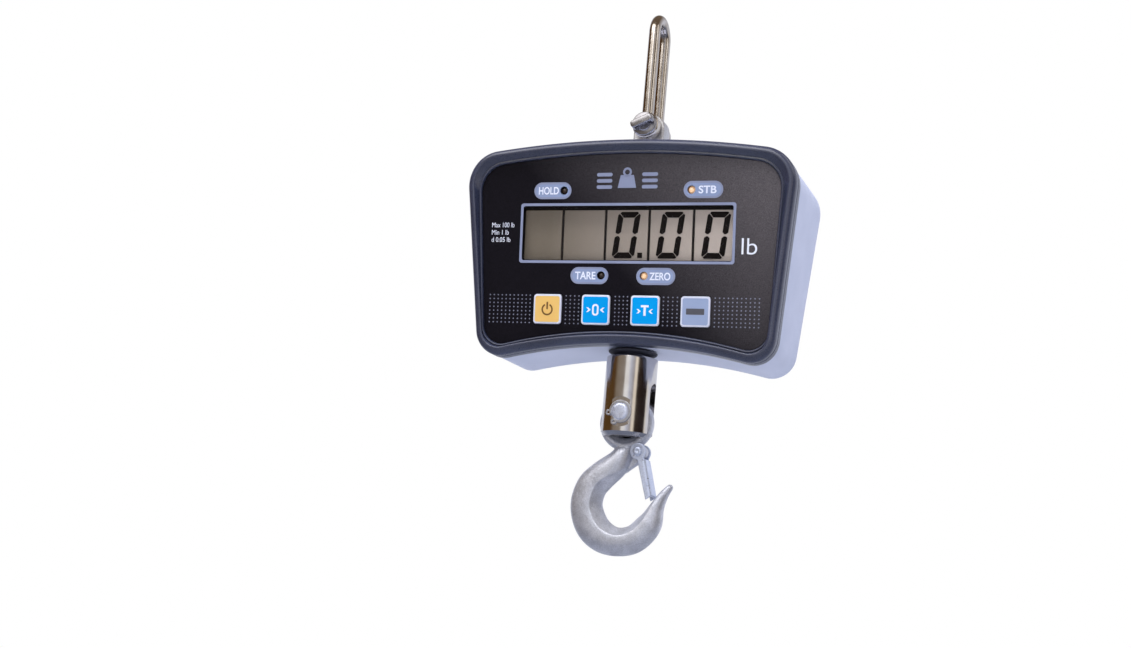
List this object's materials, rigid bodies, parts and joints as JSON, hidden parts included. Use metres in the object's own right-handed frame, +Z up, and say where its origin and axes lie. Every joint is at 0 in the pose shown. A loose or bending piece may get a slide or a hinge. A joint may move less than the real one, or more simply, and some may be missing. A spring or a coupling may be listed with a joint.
{
  "type": "crane scale",
  "caption": "Hanging crane scale: a shackle over a wedge-fronted display casing with keys and lamps, and a swivelling fork that carries a latched hook.",
  "frame": {"origin": "inner top of the shackle bow on the load line, where the crane's hook bears", "axes": "+Z up along the load line, -Y out of the display towards the reader, +X to the reader's right; metres"},
  "size_m": [0.2308, 0.0922, 0.3813],
  "materials": {
    "stainless": "polished stainless steel",
    "zinc_forging": "hot-dip galvanised forging",
    "zinc_sheet": "zinc-plated sheet steel",
    "spring_wire": "bright spring wire",
    "plated_fixing": "zinc-plated screws and nuts",
    "machined_steel": "machined alloy steel",
    "bezel_paint": "dark blue-grey moulded frame, satin",
    "shell_paint": "pale blue-silver moulded shell, satin",
    "overlay_film": "black printed film, fine texture",
    "rubber": "black moulded rubber",
    "black_plastic": "black plastic",
    "lcd_glass": "reflective liquid-crystal glass",
    "window_clear": "clear acrylic pane",
    "key_amber": "amber key",
    "key_blue": "cyan-blue key",
    "key_grey": "lavender-grey key",
    "lamp_lit": "lit indicator lamp",
    "lamp_dark": "unlit indicator lamp",
    "board_green": "green printed circuit board",
    "battery_wrap": "blue shrink-wrapped cell pack"
  },
  "bodies": {
    "shackle": {"shackle_bow": "stainless", "shackle_pin": "stainless"},
    "head": {"front_bezel": "bezel_paint", "rear_housing": "shell_paint", "front_overlay": "overlay_film", "seal_gasket": "rubber", "thrust_bearing": "machined_steel", "lcd_frame": "black_plastic", "neck_seal": "rubber", "charger_jack": "black_plastic", "display_board": "board_green", "cell_bracket": "machined_steel", "load_cell": "machined_steel", "battery_door": "shell_paint", "top_seal": "rubber", "top_lug": "machined_steel", "main_board": "board_green", "jack_cap": "rubber", "led_hold": "lamp_dark", "led_stable": "lamp_lit", "led_tare": "lamp_dark", "led_zero": "lamp_lit", "lock_nut_upper": "plated_fixing", "lock_nut_lower": "plated_fixing", "swivel_nut": "plated_fixing", "board_screw_1": "plated_fixing", "board_screw_2": "plated_fixing", "board_screw_3": "plated_fixing", "board_screw_4": "plated_fixing", "bracket_screw_1": "plated_fixing", "bracket_screw_2": "plated_fixing", "case_screw_1": "plated_fixing", "case_screw_2": "plated_fixing", "case_screw_3": "plated_fixing", "case_screw_4": "plated_fixing", "door_screw_1": "plated_fixing", "door_screw_2": "plated_fixing", "main_board_screw_1": "plated_fixing", "main_board_screw_2": "plated_fixing", "lcd_window": "window_clear", "battery_pack": "battery_wrap", "swivel_stud": "machined_steel", "lcd_cell_1": "lcd_glass", "lcd_cell_2": "lcd_glass", "lcd_cell_3": "lcd_glass", "lcd_cell_4": "lcd_glass", "lcd_cell_5": "lcd_glass"},
    "swivel": {"swivel_barrel": "stainless", "clevis_pin": "stainless", "circlip": "stainless"},
    "hook": {"hook": "zinc_forging", "latch_pin": "zinc_sheet"},
    "latch": {"hook_latch": "zinc_sheet", "latch_spring": "spring_wire"},
    "key_power": {"key_power": "key_amber"},
    "key_zero": {"key_zero": "key_blue"},
    "key_tare": {"key_tare": "key_blue"},
    "key_hold": {"key_hold": "key_grey"}
  },
  "joints": [
    {"name": "shackle_swing", "type": "hinge", "parent": "shackle", "child": "head", "pos_m": [0, 0, -0.0775], "axis": [0, 1, 0], "range_deg": [-90, 90]},
    {"name": "barrel_swivel", "type": "hinge", "parent": "head", "child": "swivel", "pos_m": [0, 0, -0.2392], "axis": [0, 0, 1], "continuous": true},
    {"name": "hook_swing", "type": "hinge", "parent": "swivel", "child": "hook", "pos_m": [0, 0, -0.2782], "axis": [0, 1, 0], "range_deg": [-45, 45]},
    {"name": "latch_open", "type": "hinge", "parent": "hook", "child": "latch", "pos_m": [0.0111, 0, -0.303], "axis": [0, 1, 0], "range_deg": [0, 38], "stiffness_Nm_per_rad": 0.05, "springref_deg": -20.05},
    {"name": "press_power", "type": "slide", "parent": "head", "child": "key_power", "axis": [0, 0.989, 0.1478], "range_m": [0, 0.0006], "stiffness_N_per_m": 800, "springref_m": -0.0005},
    {"name": "press_zero", "type": "slide", "parent": "head", "child": "key_zero", "axis": [0, 0.989, 0.1478], "range_m": [0, 0.0006], "stiffness_N_per_m": 800, "springref_m": -0.0005},
    {"name": "press_tare", "type": "slide", "parent": "head", "child": "key_tare", "axis": [0, 0.989, 0.1478], "range_m": [0, 0.0006], "stiffness_N_per_m": 800, "springref_m": -0.0005},
    {"name": "press_hold", "type": "slide", "parent": "head", "child": "key_hold", "axis": [0, 0.989, 0.1478], "range_m": [0, 0.0006], "stiffness_N_per_m": 800, "springref_m": -0.0005}
  ]
}
